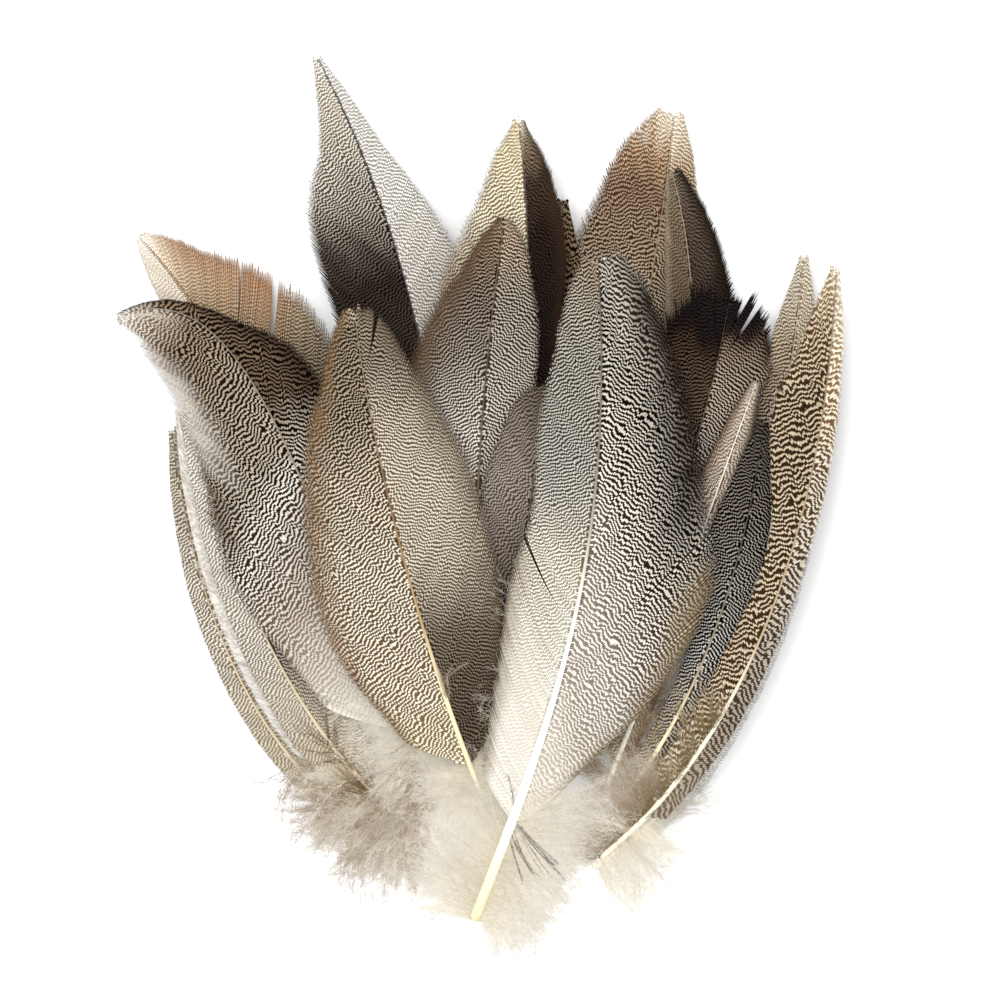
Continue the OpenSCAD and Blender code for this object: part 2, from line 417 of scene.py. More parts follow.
MIN_MARCH_MM = 6
LAST_STEP = {True: 0.75, False: 0.25}  # the share of its last step a barb makes, if half of it fits
WISP_START = 0.93
WISP_FADE = 0.05
TIP_WISP_MM = 0.9  # barbs near the tip run on past the outline by up to this
RAGGED_WISP = 30
WISP_LEAST = 0.25
TIP_NEAR_MM = 2.0
TIP_SLOPE = 0.6
TIP_LOW_MM = -0.2
TIP_HIGH_MM = 0.5
SHORTEST_MM = 0.25
LENGTH_SPREAD = 0.012
LOOSE_LENGTH = 0.06
BARB_PLACES = 10
OVERLAP = 1.3
LOOSE_OVERLAP = 0.6
BARB_MIN_MM = 0.1
BARB_MAX_MM = 0.75
BARB_HEIGHT_MM = 0.13
BARB_FLATNESS = 0.4
TAPER_SHARE = 0.1
TAPER_LEAST = 0.25
BARB_SINK_MM = 0.02
BARB_LIFT_MM = 0.06


def wander(rng, s, amount, wave_mm):
    """A smooth random curve over s, of up to about amount either way."""
    total = np.zeros_like(s)
    for octave in (1.0, 2.3, 4.1):
        phase = rng.uniform(0, 2 * math.pi)
        total += np.sin(2 * math.pi * s * octave / (wave_mm * MM) + phase) / octave
    return amount * total / 1.7


def barb_roots(shaft, sheet, side, look):
    """Barbs along the shaft: where on it they are, its direction there, their roots and first points."""
    s = [FIRST_BARB * shaft.length]
    while s[-1] < shaft.length:
        loose = s[-1] / shaft.length < look.loose
        s.append(s[-1] + BARB_STEP_MM * MM * (LOOSE_STEP if loose else 1.0))
    s = np.array(s[:-1])
    centre, forward, radius = shaft.at(s)
    normal = turned(forward, side * math.pi / 2)
    root = np.column_stack([centre[:, :2] + normal * (radius * ROOT_INSET)[:, None], centre[:, 2]])
    first = np.full((len(s), 3), np.nan)
    for offset in START_OFFSETS_MM:
        tried = centre[:, :2] + normal * (radius + (SHAFT_GAP_MM + offset) * MM)[:, None]
        for j in np.flatnonzero(np.isnan(first[:, 2])):
            found = sheet.height(*tried[j])
            if found is not None:
                first[j] = (*tried[j], found)
    kept = ~np.isnan(first[:, 2])
    return s[kept], forward[kept], root[kept], first[kept]


def barb_angles(s, shaft_length, look, rng):
    """Each barb's angle to the shaft at its root and at its end, its turn at a split, its looseness."""
    share = s / shaft_length
    near_tip = np.clip((share - TIP_START) / (1 - TIP_START), 0, 1)
    near_base = np.clip((BASE_END - share) / BASE_FADE, 0, 1)
    at_root = ROOT_ANGLE + (TIP_ANGLE - ROOT_ANGLE) * near_tip + (BASE_ANGLE - ROOT_ANGLE) * near_base
    at_end = EDGE_ANGLE + (at_root - ROOT_ANGLE) * EDGE_FOLLOW
    at_root = at_root + wander(rng, s, *ROOT_WANDER)
    at_end = at_end + wander(rng, s, *EDGE_WANDER)
    loose = np.clip((look.loose - share) / LOOSE_FADE, 0, 1)
    at_end = at_end + loose * (rng.normal(0, LOOSE_ANGLE, len(s)) + wander(rng, s, *LOOSE_WANDER))
    turn = np.zeros(len(s))
    for at_share, gap in look.splits:
        off = (s - at_share * shaft_length) / (SPLIT_REACH_MM * MM)
        turn += np.where(off > 0, -1, 1) * gap * np.exp(-np.abs(off))
    return at_root, at_end, turn, loose


def march(sheet, side, first, forward, at_root, at_end, turn):
    """Every barb's points, a step apart, and how far it goes before it leaves the sheet."""
    step = MARCH_MM * MM
    path = [first]
    place, z = first[:, :2], first[:, 2].copy()
    alive = np.ones(len(first), bool)
    length = np.zeros(len(first))
    for i in range(1, MARCH_STEPS):
        out = (i - 0.5) * step
        angle = at_end + (at_root - at_end) * math.exp(-out / (BEND_MM * MM))
        angle = angle + turn * min(1.0, out / (SPLIT_OPEN_MM * MM))
        move = turned(forward, side * angle) * step
        half = place + move / 2
        place = place + move
        for j in np.flatnonzero(alive):
            found = sheet.height(*place[j])
            if found is None:
                half_fits = sheet.height(*half[j]) is not None
                length[j] = (i - 1 + LAST_STEP[half_fits]) * step
                alive[j] = False
            else:
                z[j] = found
        path.append(np.column_stack([place, z]))
        if not alive.any() and i * step > MIN_MARCH_MM * MM:
            break
    length[alive] = (len(path) - 1) * step
    return np.array(path), length


def steps_to_tip(shaft, path, rng):
    """How many steps each barb can go before it passes the feather's rounded tip."""
    offset = path[..., :2] - shaft.points[-1, :2]
    ahead = offset @ shaft.forward[-1]
    aside = np.abs(offset @ turned(shaft.forward[-1], math.pi / 2))
    limit = rng.uniform(TIP_LOW_MM, TIP_HIGH_MM, path.shape[1]) * MM
    near = np.hypot(ahead, aside) < TIP_NEAR_MM * MM
    beyond = near & (ahead + TIP_SLOPE * aside > limit)
    return np.where(beyond.any(axis=0), beyond.argmax(axis=0), len(path))


def grow_barbs(shaft, sheet, side, look, rng):
    """Barbs march out from the shaft over the sheet until they leave it."""
    s, forward, root, first = barb_roots(shaft, sheet, side, look)
    at_root, at_end, turn, loose = barb_angles(s, shaft.length, look, rng)
    path, length = march(sheet, side, first, forward, at_root, at_end, turn)
    step = MARCH_MM * MM
    near_tip = np.clip((s / shaft.length - WISP_START) / WISP_FADE, 0, 1)
    wisp_mm = TIP_WISP_MM * (1 + RAGGED_WISP * look.ragged)
    length += near_tip * rng.uniform(WISP_LEAST, 1, len(s)) * wisp_mm * MM
    length = np.minimum(length, (len(path) - 1) * step)
    length = np.minimum(length, step * steps_to_tip(shaft, path, rng))

    kept = length > SHORTEST_MM * MM
    path, length, s, root, loose = path[:, kept], length[kept], s[kept], root[kept], loose[kept]
    n = len(s)
    ragged = 1 + rng.normal(0, LENGTH_SPREAD, n) + look.ragged * np.abs(rng.normal(0, 1, n))
    ragged += loose * rng.uniform(-LOOSE_LENGTH, LOOSE_LENGTH, n)
    reach = length * ragged
    out = reach[:, None] * np.linspace(0, 1, BARB_PLACES - 1)[None]
    where = np.clip(out / step, 0, len(path) - 1.001)
    i = where.astype(int)
    t = (where - i)[..., None]
    strand = np.arange(n)[:, None]
    body = (1 - t) * path[i, strand] + t * path[i + 1, strand]
    points = np.concatenate([root[:, None], body], axis=1)
    return points, np.concatenate([np.zeros((n, 1)), out], axis=1), s, loose, reach


def barb_widths(points, loose):
    """How wide each barb is along it: it overlaps its nearer neighbour, and more if it is loose."""
    run = unit(np.gradient(points[..., :2], axis=1))
    step = np.diff(points[..., :2], axis=0)
    apart = np.abs(step[..., 0] * run[:-1, :, 1] - step[..., 1] * run[:-1, :, 0])
    before = np.concatenate([apart[:1], apart])
    after = np.concatenate([apart, apart[-1:]])
    gap = np.minimum(before, after) + loose[:, None] * np.abs(before - after) * LOOSE_OVERLAP
    return np.clip(OVERLAP * gap, BARB_MIN_MM * MM, BARB_MAX_MM * MM)


def make_vane(feather, shaft, side, look, rng):
    node = f"{feather}_{'left' if side == LEFT else 'right'}_vane"
    points, out, s, loose, reach = grow_barbs(shaft, Sheet(node), side, look, rng)
    n = len(s)
    share = out / np.maximum(reach[:, None], 1e-9)
    taper = np.clip((1 - share) / TAPER_SHARE, TAPER_LEAST, 1)
    width = barb_widths(points, loose) * taper
    points[..., 2] += (rng.uniform(-BARB_SINK_MM, BARB_SINK_MM, (n, 1)) - BARB_SINK_MM) * MM
    points[..., 2] += loose[:, None] * share * rng.uniform(0, BARB_LIFT_MM, (n, 1)) * MM
    height = np.minimum(BARB_HEIGHT_MM * MM, width * BARB_FLATNESS) * taper
    marks = {
        "s_mm": np.repeat(s[:, None], BARB_PLACES, axis=1) / MM,
        "d_mm": out / MM,
        "share": share,
        "chance": np.repeat(rng.uniform(0, 1, (n, 1)), BARB_PLACES, axis=1),
    }
    piece = strands(f"{node}_barbs", points, width, height, marks)
    piece.data.materials.append(vane_material(node, look, shaft.length / MM, rng.uniform(0, 50)))
    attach(piece, feather)
    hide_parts(node)
    return piece


# period_mm, slant, share of dark, zigzag from barb to barb, wander, jump at each barb, softness
BARS = {
    "maze": (0.62, 0.95, 0.56, 0.9, 0.9, 0.16, 0.5),
    "fine": (0.56, 1.0, 0.56, 0.75, 0.7, 0.2, 0.5),
    "zebra": (0.8, 1.15, 0.57, 0.72, 0.95, 0.12, 0.34),
    "bold": (0.94, 1.05, 0.55, 0.65, 0.95, 0.14, 0.45),
    "soft": (0.55, 1.0, 0.55, 0.8, 0.8, 0.3, 0.9),
    "line": (0.5, 0.6, 0.5, 0.7, 0.6, 0.2, 0.6),
    "plain": (1.4, 0.6, 0.5, 1.5, 1.4, 0.6, 1.2),
}
LIGHT_GAIN = 0.92
DARK_GAIN = 0.42  # how much of its light a black bar keeps
DARK_RISE = 2.2  # and how much more for each unit that the bar is lighter
DARK_GAIN_MOST = 0.93
ZIGZAG_MM = 1.1
ZIGZAG_SLANT = 0.12
ZIGZAG_STRETCH = 0.3  # zigzags are this much slower along a barb than across the barbs
WANDER_MM = 3.6
PLACE_NOISE = 0.12  # how the colours' borders wander: scale, and share of the feather's length
PLACE_SHIFT = 0.05
EDGE_NOISE = 0.3  # and those of the edges: scale, and share of a barb's length
EDGE_SHIFT = 0.12
# painted shade between barbs: a barb is darkest at its two lower corners, and reaches full colour this
# share of the way up to its ridge
VALLEY_SHADE_END = 0.8
VALLEY_SHADE_TONES = (0.76, 1.0)  # the painted shade's tone between barbs, and on top of them
BARB_TONES = (0.9, 1.08)  # the darkest and the lightest barb
GRAIN_ALONG = 6.0
GRAIN_OUT = 0.8
GRAIN_SCALE = 1.6
GRAIN_BUMP_MM = 0.03
VANE_ROUGHNESS = 0.72
ROUGHNESS_SHIFT = 0.08


def deep(code):
    """The colour of a dark bar, which light from its neighbours makes paler in the end."""
    return [min(DARK_GAIN_MOST, DARK_GAIN + DARK_RISE * v) * v for v in linear(code)[:3]] + [1.0]


def vane_material(name, look, length_mm, seed):
    """Bars across the barbs, in colours that change from the quill to the tip, with painted shade between
    the barbs.
    """
    g = Graph(name)
    period, slant, dark_share, zigzag, wander_by, jump, softness = BARS[look.bars]
    s, d = g.mark("s_mm"), g.mark("d_mm")
    chance, share, ridge = g.mark("chance"), g.mark("share"), g.mark("ridge")
    here = g.join(s, d, seed)
    barbs = g.join(g.plus(s, g.times(d, ZIGZAG_SLANT)), g.times(d, ZIGZAG_STRETCH), seed)
    phase = g.times(g.plus(s, g.times(d, slant)), 1 / period)
    phase = g.plus(phase, g.times(g.noise(barbs, 1 / ZIGZAG_MM, 2.0), zigzag))
    phase = g.plus(phase, g.times(g.noise(here, 1 / WANDER_MM, 2.0), wander_by * 2))
    phase = g.plus(phase, g.times(g.plus(chance, -0.5), jump * 2))
    bar = g.math("SINE", g.times(phase, 2 * math.pi))
    middle = (dark_share + look.darker - 0.5) * 2
    bar = g.step(bar, middle - softness, middle + softness)
    along = g.plus(s, g.times(d, look.sweep))
    place = g.plus(g.times(along, 1 / length_mm), g.times(g.noise(here, PLACE_NOISE, 2.0), PLACE_SHIFT))
    dark = g.ramp(place, [(u, deep(a)) for u, a, b in look.stops])
    light = g.ramp(place, [(u, linear(b, LIGHT_GAIN)) for u, a, b in look.stops])
    colour = g.mix(bar, dark, light)
    height = g.times(s, 1 / length_mm)
    for edge_colour, start, strength, *between in look.edges:
        outward = g.plus(share, g.times(g.noise(here, EDGE_NOISE), EDGE_SHIFT))
        amount = g.step(outward, start, 1.0, 0.0, strength)
        for low, high in between:
            amount = g.times(amount, g.step(height, low, high))
        colour = g.mix(amount, colour, linear(edge_colour))
    # painted shade darkens each barb's sides where it meets its neighbours, and chance gives each barb a
    # random tone of its own
    tone = g.times(g.step(ridge, 0.0, VALLEY_SHADE_END, *VALLEY_SHADE_TONES), g.step(chance, 0.0, 1.0, *BARB_TONES))
    grain = g.noise(g.join(g.times(s, GRAIN_ALONG), g.times(d, GRAIN_OUT), seed), GRAIN_SCALE, 2.0)
    roughness = g.plus(g.times(grain, ROUGHNESS_SHIFT), VANE_ROUGHNESS)
    return g.finish(g.shade(colour, tone), roughness, grain, GRAIN_BUMP_MM)


# ---------------------------------------------------------------- shafts

SHAFT_SIDES = 12
SHAFT_RINGS = 90
RING_CROWDING = 1.15  # above 1, rings are closer together at the quill end
QUILL_ROUND_MM = 1.2
QUILL_END = 0.35  # the quill's radius at its very end, as a share
SHAFT_TAPER_MM = 3
SHAFT_END = 0.3
SLIM_PLACES = (0.0, 0.22, 0.42, 0.7, 1.0)  # a shaft sinks in between its barbs further up
SLIM_SHARES = (1.0, 1.0, 0.62, 0.5, 0.55)
STREAK_ALONG = 30.0
STREAK_ROUND = 2.5
STREAK_SHIFT = 0.015
STREAK_TONE = 0.08
SHAFT_TONE = 0.98
SHAFT_ROUGHNESS = 0.42
SHAFT_GLOSS = 0.4


def make_shaft(feather, shaft, stops, rng):
    """A smooth tube along the shaft, rounded off at both ends."""
    s = np.linspace(0, 1, SHAFT_RINGS) ** RING_CROWDING * shaft.length
    centre, forward, radius = shaft.at(s)
    from_quill = np.clip(s / (QUILL_ROUND_MM * MM), 0, 1)
    to_tip = np.clip((shaft.length - s) / (SHAFT_TAPER_MM * MM), 0, 1)
    radius = radius * (QUILL_END + (1 - QUILL_END) * np.sqrt(1 - (1 - from_quill) ** 2))
    radius = radius * (SHAFT_END + (1 - SHAFT_END) * to_tip)
    radius = radius * np.interp(s / shaft.length, SLIM_PLACES, SLIM_SHARES)
    normal = np.column_stack([turned(forward, math.pi / 2), np.zeros(len(s))])
    angle = np.arange(SHAFT_SIDES) * 2 * math.pi / SHAFT_SIDES
    ring = (centre[:, None]
            + (radius[:, None] * np.cos(angle))[..., None] * normal[:, None]
            + (radius[:, None] * np.sin(angle))[..., None] * UP)
    n, m = ring.shape[:2]
    faces = []
    for i in range(n - 1):
        for j in range(m):
            a, b = i * m + j, i * m + (j + 1) % m
            faces.append((a, b, b + m, a + m))
    faces.append(tuple(range(m - 1, -1, -1)))
    faces.append(tuple((n - 1) * m + j for j in range(m)))
    name = f"{feather}_rachis"
    mesh = bpy.data.meshes.new(name)
    mesh.from_pydata([tuple(p) for p in ring.reshape(-1, 3)], [], faces)
    mesh.polygons.foreach_set("use_smooth", [True] * len(faces))
    marks = {"share": np.repeat(s / shaft.length, m), "round": np.tile(np.sin(angle), n)}
    piece = new_piece(name, mesh, marks)
    piece.data.materials.append(shaft_material(name, stops, rng.uniform(0, 50)))
    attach(piece, feather)
    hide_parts(f"{feather}_shaft")


def shaft_material(name, stops, seed):
    """Horn in colours that change from the quill to the tip, with fine streaks along it."""
    g = Graph(name)
    share, height = g.mark("share"), g.mark("round")
    here = g.join(g.times(share, STREAK_ALONG), g.times(height, STREAK_ROUND), seed)
    streak = g.noise(here, 1.0, 3.0)
    place = g.plus(share, g.times(streak, STREAK_SHIFT))
    colour = g.ramp(place, [(u, linear(c)) for u, c in stops])
    tone = g.plus(g.times(streak, STREAK_TONE), SHAFT_TONE)
    roughness = g.plus(g.times(streak, ROUGHNESS_SHIFT), SHAFT_ROUGHNESS)
    return g.finish(g.shade(colour, tone), roughness, streak, gloss=SHAFT_GLOSS)


# ---------------------------------------------------------------- down

DOWN_PLACES = 9
BARBULE_PLACES = 3
STEM_CURL = 1.0
STEM_TREMBLE = 0.15
STEM_MM = 0.055
BARBULE_MM = 0.038
STEM_RISE = (0.1, 0.25)  # mean and spread of how steeply stems rise
STEM_BEND = 0.15
RISE_TREMBLE = 0.6  # lines tremble less up and down than in plan
HAIR_START = 0.06
HAIR_ANGLES = (0.5, 1.1)
HAIR_RISE = 0.45
HAIR_BEND = 0.5
HAIR_TREMBLE = 0.15
HAIR_SHORTEST = 0.5  # the shortest hair, and how much shorter hairs are at a stem's end, as shares
HAIR_SHORTENING = 0.5
STRAND_END = 0.35  # how thick a strand's end is, as a share
STRAND_HEIGHT = 0.87
FLOOR_CLEAR_MM = 0.15
TOP_SPREAD_MM = 1.4
DOWN_GAIN = 0.88
LOCK_STEMS = 6
LOCK_MM = 0.5
LOCK_SPREAD = 5.0
LOCK_LENGTH = 0.6  # the shortest lock, and the shortest stem in it, as shares
STEM_LENGTH = 0.75
LOCK_TONE = 0.6  # how much of a hair's tone is its lock's, and how much is its own
HAIR_TONE = 0.4
DOWN_TONES = (0.68, 1.12)
DOWN_ROUGHNESS = 0.8
DOWN_GRAIN = (9.0, 40.0)  # how often it changes along a hair, and from hair to hair


def wavy_lines(rng, start, heading, rise, length, places, bend, tremble):
    """Lines that start at start, run in a plan heading with a rise, and bend as they go."""
    n = len(start)
    turn = bend[:, None] * np.linspace(0, 1, places - 1)[None]
    turn = turn + np.cumsum(rng.normal(0, tremble, (n, places - 1)), axis=1)
    angle = heading[:, None] + turn
    lift = rise[:, None] + np.cumsum(rng.normal(0, tremble * RISE_TREMBLE, (n, places - 1)), axis=1)
    lift = lift - np.linspace(0, 1, places - 1)[None] * rise[:, None]
    step = (length / (places - 1))[:, None]
    moves = np.stack([np.cos(angle) * np.cos(lift) * step, np.sin(angle) * np.cos(lift) * step,
                      np.sin(lift) * step], axis=-1)
    return start[:, None] + np.concatenate([np.zeros((n, 1, 3)), np.cumsum(moves, axis=1)], axis=1)


def barbules(rng, stems, per_stem, length_mm, lean):
    """Short hairs that stand out on both sides all along the stems, and where along them they are."""
    n, k = stems.shape[:2]
    where = rng.uniform(HAIR_START, 1, (n, per_stem)) * (k - 1.001)
    i = where.astype(int)
    t = (where - i)[..., None]
    row = np.arange(n)[:, None]
    start = (1 - t) * stems[row, i] + t * stems[row, i + 1]
    run = unit(stems[row, i + 1] - stems[row, i])
    heading = np.arctan2(run[..., 1], run[..., 0])
    side = rng.choice([-1, 1], heading.shape)
    heading = heading + side * rng.uniform(*HAIR_ANGLES, heading.shape) * lean
    rise = rng.normal(0, HAIR_RISE, heading.shape) * lean
    length = rng.uniform(HAIR_SHORTEST, 1, heading.shape) * length_mm * MM
    length = length * (1 - HAIR_SHORTENING * where / k)
    hairs = wavy_lines(rng, start.reshape(-1, 3), heading.ravel(), rise.ravel(), length.ravel(),
                       BARBULE_PLACES, rng.normal(0, HAIR_BEND, heading.size), HAIR_TREMBLE)
    return hairs, (where / (k - 1)).ravel()


def settle(points, top):
    """Keeps lines above the floor, and each below a height of its own."""
    points[..., 2] = np.clip(points[..., 2], FLOOR_CLEAR_MM * MM, top)
    return points


def make_down(feather, number, shaft, down, rng):
    """Stems in locks that grow from both sides of the shaft, and the hairs on them."""
    n = down.count
    locks = max(1, n // LOCK_STEMS)
    lock = rng.integers(0, locks, n)
    lock_tone = rng.uniform(0, 1, locks)[lock]
    s = rng.uniform(down.start, down.share, locks)[lock] * shaft.length + rng.normal(0, LOCK_MM * MM, n)
    centre, forward, _ = shaft.at(np.clip(s, 0, shaft.length))
    side = rng.choice(down.sides, locks)[lock]
    angle = rng.normal(down.angle, down.spread, locks)[lock] + rng.normal(0, LOCK_SPREAD, n)
    heading = np.arctan2(forward[:, 1], forward[:, 0]) + np.radians(angle) * side
    length = rng.uniform(LOCK_LENGTH, 1.0, locks)[lock] * rng.uniform(STEM_LENGTH, 1.0, n)
    rise = rng.normal(*STEM_RISE, n)
    bend = rng.normal(0, STEM_CURL * down.lean, locks)[lock] + rng.normal(0, STEM_BEND, n)
    stems = wavy_lines(rng, centre, heading, rise, length * down.length_mm * MM, DOWN_PLACES, bend,
                       STEM_TREMBLE * down.lean)
    top = float(centre[:, 2].max()) + down.cover_mm * MM
    stems = settle(stems, top - rng.uniform(0, TOP_SPREAD_MM, (n, 1)) * MM)
    hairs, at = barbules(rng, stems, down.hairs, down.hair_mm, down.lean)
    hairs = settle(hairs, top - rng.uniform(0, TOP_SPREAD_MM, (len(hairs), 1)) * MM)

    made = []
    for kind, lines, thick, place in (
        ("down", stems, STEM_MM, np.linspace(0, 1, DOWN_PLACES)[None]),
        ("fluff", hairs, BARBULE_MM, at[:, None]),
    ):
        count, places = lines.shape[:2]
        width = thick * MM * np.linspace(1, STRAND_END, places)[None] * np.ones((count, 1))
        tone = np.repeat(lock_tone, count // n)[:, None] * LOCK_TONE
        tone = tone + rng.uniform(0, HAIR_TONE, (count, 1))
        marks = {"share": np.broadcast_to(place, (count, places)),
                 "chance": np.repeat(tone, places, axis=1)}
        name = f"{feather}_{kind}_{number}"
        piece = strands(name, lines, width, width * STRAND_HEIGHT, marks)
        piece.data.materials.append(down_material(name, down.colours))
        piece.visible_shadow = False  # down lets the light through
        piece.visible_diffuse = False
        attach(piece, feather)
        made.append(piece)
    return made


def down_material(name, colours):
    """Colours from the root to the end of a stem, a tone of its own for each hair, and a silky grain."""
    g = Graph(name)
    share, chance = g.mark("share"), g.mark("chance")
    colour = g.ramp(share, [(u, linear(c, DOWN_GAIN)) for u, c in colours])
    tone = g.step(chance, 0.0, 1.0, *DOWN_TONES)
    grain = g.noise(g.join(g.times(share, DOWN_GRAIN[0]), g.times(chance, DOWN_GRAIN[1])), 1.0, 2.0)
    return g.finish(g.shade(colour, tone), g.plus(g.times(grain, ROUGHNESS_SHIFT), DOWN_ROUGHNESS), grain)


# ---------------------------------------------------------------- the feathers' looks

# bars: a kind of BARS; stops: (share of the shaft, dark bar, light bar); edges: (colour, the share of
# a barb where it starts, strength, and pairs of shares of the shaft between which it fades in);
# splits: (share of the shaft, angle); loose: the share of the shaft with loose barbs; ragged: how
# uneven the barbs' ends are; darker: more dark in the bars; sweep: how far the colours lean forward
Look = namedtuple("Look", "bars stops edges splits loose ragged darker sweep",
                  defaults=((), (), 0.18, 0.0, 0.0, 0.75))
# count stems grow between the shares start and share of the shaft, at an angle in degrees to it; spread
# is how much that angle varies between locks; cover_mm is how far above the shaft they may rise; hairs
# and hair_mm are for the hairs on each stem; lean is how far the hairs stand out and the stems curl
Down = namedtuple("Down", "count length_mm colours share start angle sides"
                          " hairs hair_mm spread lean cover_mm",
                  defaults=(0.24, 0.0, 62, (LEFT, RIGHT), 28, 2.6, 16, 0.62, 2.2))
Feather = namedtuple("Feather", "slot shaft left right down")


def tufts(count, length_mm, colours, share, start, angle, sides=(LEFT, RIGHT), spread=12, cover_mm=2.2):
    """Long locks of down, whose hairs lie close along their stems."""
    return Down(count, length_mm, colours, share, start, angle, sides, 60, 1.3, spread, 0.4, cover_mm)


def under(count, length_mm, colours, share, start=0.0, angle=62, sides=(LEFT, RIGHT)):
    """Down that stays below the shaft it grows from."""
    return Down(count, length_mm, colours, share, start, angle, sides, cover_mm=-0.35)


CREAM = "e9e1cb"
FOOT = (0, "8b7d68", "e6dfd0")  # the first stop of vanes whose foot is hidden
WHITE = ((0, "f3e8d0"), (0.5, "fbf3e2"), (1, "faf4e8"))
IVORY = ((0, "e6dabf"), (0.5, "f2e8d4"), (1, "f4ede0"))
HAIRY = ((0, "86725a"), (0.5, "af9d86"), (1, "dcd1c0"))
BROWN = ((0, "62492e"), (0.5, "846a4a"), (1, "c2af92"))
OCHRE = ((0, "6e5c40"), (0.6, "988260"), (1, "ccbb9c"))
INK = ((0, "c4beb6"), (0.3, "77736f"), (1, "2b2a2e"))

# looks that both vanes of a feather share
SPECKLED = Look("fine", ((0, "b5a590", "e2d9c8"), (0.3, "9a8a72", "e2d9c8"), (0.6, "857a6c", "f2ede3"),
                         (1, "746756", "dbd2c1")), loose=0.5)
TIGER = Look("bold", (FOOT, (0.4, "1b0e07", "8a7863"), (1, "1b0e07", "9c8266")))
FINE_ZEBRA = Look("fine", ((0, "a5926e", "dcceb6"), (0.3, "5a4a3a", "cfc9bf"),
                           (0.5, "150d0a", "dedad2"), (0.75, "0e0605", "a49b8f"),
                           (1, "0e0605", "6a6058")), darker=0.14)
TAUPE = Look("soft", ((0, "8b7d68", "d6cdbf"), (0.35, "2e231f", "6a5d54"), (0.5, "463a32", "8d8176"),
                      (0.75, "5f5248", "bab0a4"), (0.92, "4a3e34", "9a8e80"), (1, "32281f", "7d7060")))
PALE_STRIP = Look("soft", ((0, "8a7458", "d8d0c3"), (0.5, "7a6650", "d8d0c3"), (1, "8d7a64", "e6ded2")),
                  edges=(("6a523c", 0.3, 0.85),))

